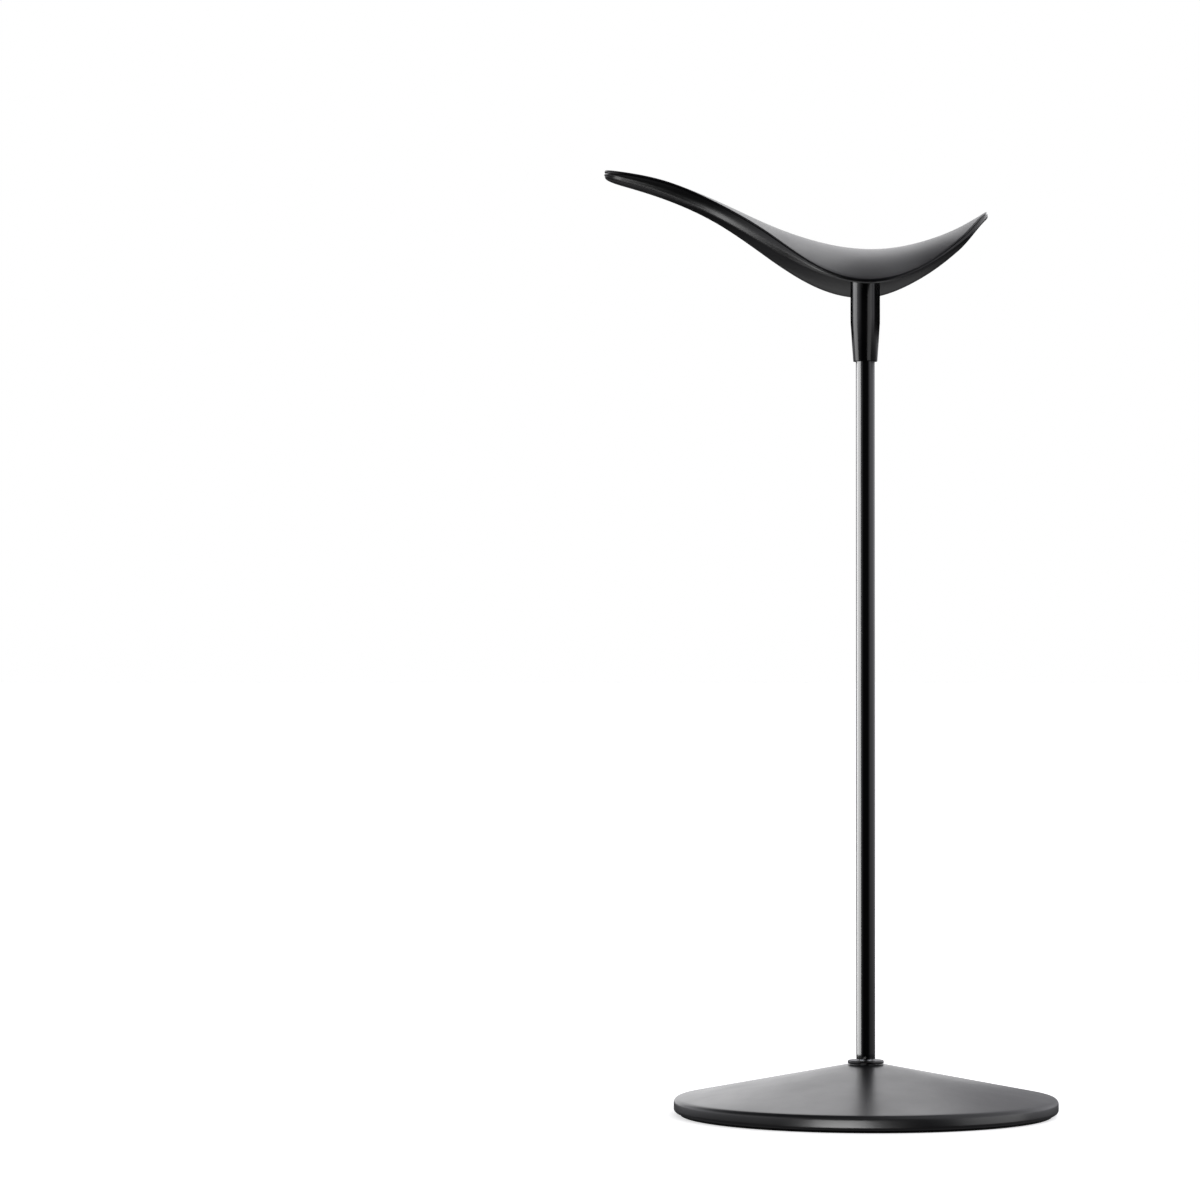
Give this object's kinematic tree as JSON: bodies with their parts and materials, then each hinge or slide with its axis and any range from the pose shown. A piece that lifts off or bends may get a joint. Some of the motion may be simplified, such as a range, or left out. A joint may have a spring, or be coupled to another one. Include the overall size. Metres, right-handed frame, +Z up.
{
  "type": "headphone stand",
  "caption": "Black headphone stand with a weighted conical round base, a slender upright pole and a leaf-shaped saddle that turns on the pole and has one long and one short wing.",
  "frame": {"origin": "centre of the foam foot's underside, on the pole's axis, at the surface the stand rests on", "axes": "+Z up along the pole; the saddle's long wing points along -X and its short wing along +X at rest; +Y crosses the saddle"},
  "size_m": [0.1536, 0.13, 0.3199],
  "materials": {
    "satin_black_metal": "satin powder coat",
    "gloss_black_metal": "gloss black lacquer",
    "gloss_black_plastic": "polished moulded black",
    "soft_black_pad": "soft-touch matt",
    "black_plastic": "satin moulded",
    "black_foam": "matt closed-cell foam",
    "cast_iron": "as cast",
    "zinc_steel": "zinc plated",
    "white_nylon": "natural nylon"
  },
  "bodies": {
    "stand": {"base_cover": "satin_black_metal", "base_ballast": "cast_iron", "base_plate": "zinc_steel", "base_foot": "black_foam", "cover_screw_0": "zinc_steel", "cover_screw_1": "zinc_steel", "cover_screw_2": "zinc_steel", "pole_bolt": "zinc_steel", "bolt_spring_washer": "zinc_steel", "bolt_washer": "zinc_steel", "pole_collar": "gloss_black_metal", "pole_rod": "gloss_black_metal", "pivot_friction_disc": "white_nylon", "pivot_screw": "zinc_steel"},
    "saddle": {"neck_sleeve": "gloss_black_plastic", "neck_bush": "white_nylon", "saddle_shell": "black_plastic", "saddle_pad": "soft_black_pad", "saddle_screw_long": "zinc_steel", "saddle_screw_short": "zinc_steel"}
  },
  "joints": [
    {"name": "saddle_swivel", "type": "hinge", "parent": "stand", "child": "saddle", "pos_m": [0, 0, 0.2816], "axis": [0, 0, 1], "continuous": true}
  ]
}
